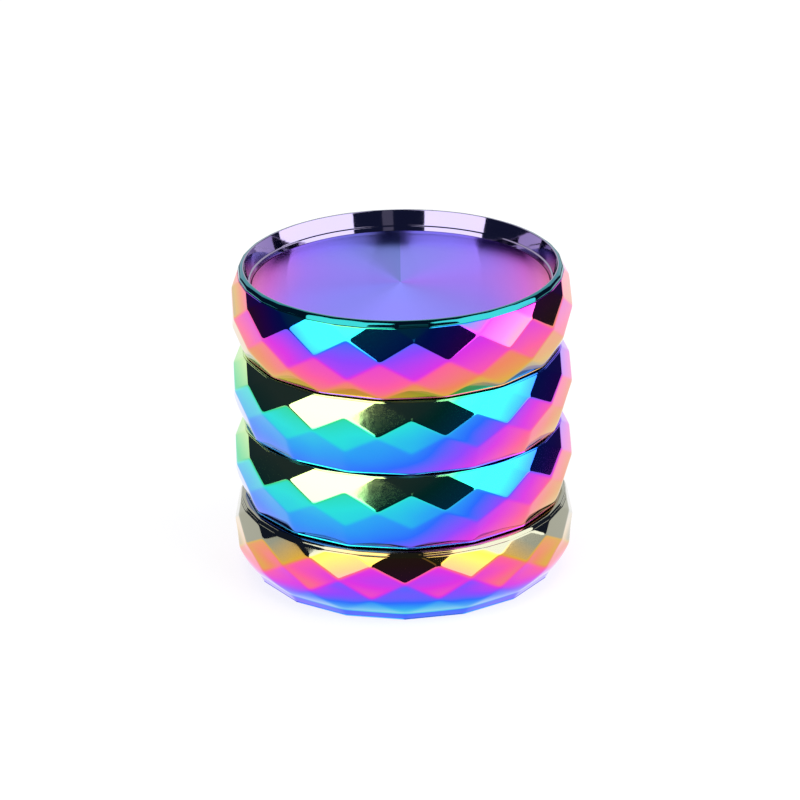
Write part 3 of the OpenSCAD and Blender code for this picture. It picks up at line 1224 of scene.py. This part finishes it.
@dataclass(frozen=True)
class SealRing:
    """A rubber ring of nearly round section, |x|^power + |y|^power = 1, carried round the axis."""

    node: str
    body: str
    finish: Finish
    inner: float = 20.35
    power: float = 2.6

    def build(self) -> bpy.types.Object:
        """Makes the seal.

        Returns:
            The seal.
        """
        low, high, out = floor_of(self.node), top_of(self.node), radius_of(self.node)
        turn = np.linspace(0, 2 * math.pi, 25)[:-1]
        grow = (np.abs(np.cos(turn)) ** self.power + np.abs(np.sin(turn)) ** self.power) ** (-1 / self.power)
        radius = (out + self.inner) / 2 + (out - self.inner) / 2 * grow * np.cos(turn)
        height = (low + high) / 2 + (high - low) / 2 * grow * np.sin(turn)
        turning = Turning(192)
        section = turning.plain(np.stack([radius, height], -1), self.finish)
        piece = turning.skin(self.node + "_ring", [section], Ends.LOOP)
        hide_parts(self.node)
        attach(piece, self.body)
        return piece


# ---------------------------------------------------------------- stage


@dataclass(frozen=True)
class SoftBox:
    """A light panel that faces the object: azimuth from the front towards +X, in degrees; sizes in metres.

    One that isn't mirrored lights the floor but isn't seen in the facets.
    """

    name: str
    azimuth: float
    elevation: float
    width: float
    height: float
    distance: float
    radiance: float
    mirrored: bool = True

    def build(self) -> bpy.types.Object:
        """Makes the light; its power is pi * area * radiance."""
        lamp = bpy.data.lights.new(self.name, "AREA")
        lamp.shape, lamp.size, lamp.size_y = "RECTANGLE", self.width, self.height
        lamp.energy = math.pi * self.width * self.height * self.radiance
        box = bpy.data.objects.new(self.name, lamp)
        a, e = math.radians(self.azimuth), math.radians(self.elevation)
        towards = Vector((math.sin(a) * math.cos(e), -math.cos(a) * math.cos(e), math.sin(e)))
        box.location = towards * self.distance
        box.rotation_euler = towards.to_track_quat("Z", "Y").to_euler()
        box.visible_camera = False
        box.visible_glossy = self.mirrored
        bpy.context.scene.collection.objects.link(box)
        return box


@dataclass(frozen=True)
class Studio:
    """Pale floor, soft boxes, a pale surround and the camera."""

    boxes: tuple[SoftBox, ...]
    surround: float = 0.06
    sky: float = 1.0
    floor_size: float = 0.8
    floor_glow: float = 1.05
    floor_white: float = 0.8
    elevation: float = 22.3
    distance: float = 0.65
    lens: float = 200.0
    roll: float = 0.8
    aim: tuple[float, float, float] = (-0.00034, 0.0, 0.02505)

    def build(self) -> None:
        """Makes the stage."""
        for box in self.boxes:
            box.build()
        self.make_floor()
        self.make_world()
        self.make_camera()
        bpy.context.scene.view_settings.view_transform = "Standard"

    def make_floor(self) -> None:
        """Makes the floor, a pale sheet that looks evenly white in the facets."""
        half = self.floor_size / 2 / MM
        corners = np.array([[-half, -half, 0], [half, -half, 0], [half, half, 0], [-half, half, 0]])
        floor = mesh_object("floor", corners - [0, 0, 0.02], np.array([[0, 1, 2, 3]]), smooth=False)
        bench = NodeBench("pale_floor")
        cloth = bench.add("BsdfPrincipled", {"Base Color": linear(250, 250, 250), "Roughness": 0.9})
        white = bench.add("Emission", {"Color": (1, 1, 1, 1), "Strength": 1.0})
        even = bench.add("Emission", {"Color": (1, 1, 1, 1), "Strength": self.floor_glow})
        ray = bench.add("LightPath")
        seen = bench.product(ray.outputs["Is Camera Ray"], self.floor_white)
        lit = bench.add("MixShader", {0: seen, 1: cloth.outputs[0], 2: white.outputs[0]})
        mirrored = ray.outputs["Is Glossy Ray"]
        shader = bench.add("MixShader", {0: mirrored, 1: lit.outputs[0], 2: even.outputs[0]})
        floor.data.materials.append(bench.close(shader))

    def make_world(self) -> None:
        """Makes a surround that is pale behind the object and dim for everything else."""
        world = bpy.data.worlds.new("surround")
        bpy.context.scene.world = world
        world.use_nodes = True
        tree = world.node_tree
        tree.nodes.clear()
        ray = tree.nodes.new("ShaderNodeLightPath")
        dim, pale = (tree.nodes.new("ShaderNodeBackground") for _ in range(2))
        dim.inputs["Strength"].default_value = self.surround
        pale.inputs["Strength"].default_value = self.sky
        dim.inputs["Color"].default_value = (0.3, 0.42, 1.0, 1.0)
        pale.inputs["Color"].default_value = (1.0, 1.0, 1.0, 1.0)
        mix, out = tree.nodes.new("ShaderNodeMixShader"), tree.nodes.new("ShaderNodeOutputWorld")
        tree.links.new(ray.outputs["Is Camera Ray"], mix.inputs[0])
        tree.links.new(dim.outputs[0], mix.inputs[1])
        tree.links.new(pale.outputs[0], mix.inputs[2])
        tree.links.new(mix.outputs[0], out.inputs["Surface"])

    def make_camera(self) -> None:
        """Makes the camera, level but for a slight roll, looking at the aim point."""
        data = bpy.data.cameras.new("camera")
        data.lens, data.sensor_width = self.lens, 36.0
        camera = bpy.data.objects.new("camera", data)
        e = math.radians(self.elevation)
        back = Vector((0, -math.cos(e), math.sin(e)))
        camera.location = Vector(self.aim) + back * self.distance
        roll = Matrix.Rotation(math.radians(-self.roll), 3, "Z")
        camera.rotation_euler = ((-back).to_track_quat("-Z", "Y").to_matrix() @ roll).to_euler()
        bpy.context.scene.collection.objects.link(camera)
        bpy.context.scene.camera = camera


# ---------------------------------------------------------------- the whole


def dress_nodes(finishes: dict[Finish, tuple[str, ...]]) -> None:
    """Puts finishes on the CAD nodes that stay.

    Args:
        finishes: finish to the names of the nodes it covers.
    """
    for finish, names in finishes.items():
        for name in names:
            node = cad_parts[name]
            node.data.materials.clear()
            node.data.materials.append(finish.material())
            LOG.info("dressed %s in %s", name, finish.name)


def main() -> None:
    """Builds every piece, dresses it, and sets the stage."""
    logging.basicConfig(level=logging.INFO, format="%(name)s: %(message)s")
    middle = {"tilt": 0.30, "curve": 0.32, "lean": -0.26, "side": -0.28, "n_most": 0.36}
    level = {"fall": 0.0, "lean": 0.0}
    lid_film = RainbowFilm(
        "lid_film", 0.475, 40.7, fall=0.024, tilt=0.42, lean=-0.48, side=-0.53, twist=0.58, spread_low=0.35
    )
    # The rim's film is darkened to a third of the others (shade 0.32): a painted shade on the rim.
    rim_film_painted_shade = RainbowFilm(
        "rim_film_painted_shade", 0.79, 46.0, tilt=0.0, side=-0.04, wash=0.05, shade=0.32, clear=0.08, **level
    )
    # The recess wall's film is greyed and darkened by half: a painted shade in the recess.
    recess_film_painted_shade = RainbowFilm(
        "recess_film_painted_shade", 0.50, 44.0, tilt=0.02, side=-0.05, wash=0.7, shade=0.5, rough=0.05, clear=0.0, **level
    )
    chamber_film = RainbowFilm("chamber_film", 0.745, 29.3, **middle)
    sieve_film = RainbowFilm("sieve_film", 0.735, 17.8, **middle)
    base_film = RainbowFilm(
        "base_film", 0.42, 6.68, fall=-0.024, tilt=-0.50, curve=-0.3, lean=-0.02, side=-0.36, n_most=0.4
    )
    foot_film = RainbowFilm("foot_film", 0.64, 0.7, tilt=0.1, lean=0.0, side=-0.1)
    inside_film = RainbowFilm(
        "inside_film", 0.66, 24.0, fall=0.004, tilt=0.05, lean=-0.05, side=-0.1, rough=0.24, clear=0.0
    )
    spun = SpunFilm("spun_film")
    steel = Steel("satin_steel", linear(196, 198, 201))
    nickel = Steel("nickel_plate", linear(206, 204, 198), rough=0.16, grain=0.04)
    wire = Steel("screen_wire", linear(178, 180, 184), rough=0.3)
    nylon = Moulded("nylon", linear(236, 233, 224), linear(222, 218, 206), rough=0.42, soft_light=0.2)
    rubber = Moulded("seal_rubber_black", linear(34, 34, 36), linear(22, 22, 24), rough=0.6)

    base_band = FacetBand(7.34, 2.65, 11.25, shift=0.25, belly=0.75)
    sieve_band = FacetBand(17.8, 2.7, 2.5, belly=0.2, last=1)
    chamber_band = FacetBand(29.3, 2.7, 2.8, belly=0.2, last=1)
    lid_band = FacetBand(40.7, 3.1, 4.0, belly=0.15)
    base_place = ("bowl_skin", "base_bowl", "base", "rainbow_base")
    sieve_place = ("sieve_skin", "sieve_ring", "sieve", "rainbow_middle")
    chamber_place = ("chamber_skin", "chamber_ring", "chamber", "rainbow_middle")
    lid_place = ("lid_skin", "lid_shell", "lid", "rainbow_lid")
    makers = [
        BaseBowl(*base_place, base_band, base_film, inside_film, foot_film),
        SieveRing(*sieve_place, sieve_band, sieve_film, inside_film),
        ChamberRing(*chamber_place, chamber_band, chamber_film, inside_film),
        LidShell(*lid_place, lid_band, lid_film, inside_film, recess_film_painted_shade, rim_film_painted_shade),
        SpunFace(spun),
        ToothCircle("lid_teeth_inner", "lid", 8.2, 6, 0.0, False, inside_film),
        ToothCircle("lid_teeth_outer", "lid", 14.2, 10, 0.0, False, inside_film),
        ToothCircle("chamber_teeth_inner", "chamber", 11.2, 8, 22.5, True, inside_film),
        ToothCircle("chamber_teeth_outer", "chamber", 17.3, 12, 15.0, True, inside_film),
        WovenScreen(wire),
        SealRing("sieve_seal", "sieve_seal_body", rubber),
        SealRing("chamber_seal", "chamber_seal_body", rubber),
    ]
    for maker in makers:
        piece = maker.build()
        LOG.info("made %s: %d faces", piece.name, len(piece.data.polygons))
    dress_nodes({
        inside_film: ("tooth_plate",),
        steel: ("screen_hoop", "screen_retainer", "lid_magnet_screw", "chamber_magnet_screw"),
        nickel: ("lid_magnet", "chamber_magnet"),
        nylon: ("slip_ring",),
    })
    Studio((
        SoftBox("left_box", -42.5, 25, 1.0, 1.6, 1.15, 3.0),
        SoftBox("right_box", 68, 25, 1.45, 1.6, 1.15, 3.0),
        SoftBox("back_box", 180, 30, 2.4, 1.5, 1.5, 1.0),
        SoftBox("top_box", 0, 90, 1.2, 1.2, 1.6, 3.2, mirrored=False),
        SoftBox("front_card", 9, 20, 0.16, 0.5, 1.2, 0.16),
    )).build()


if __name__ == "__main__":
    main()
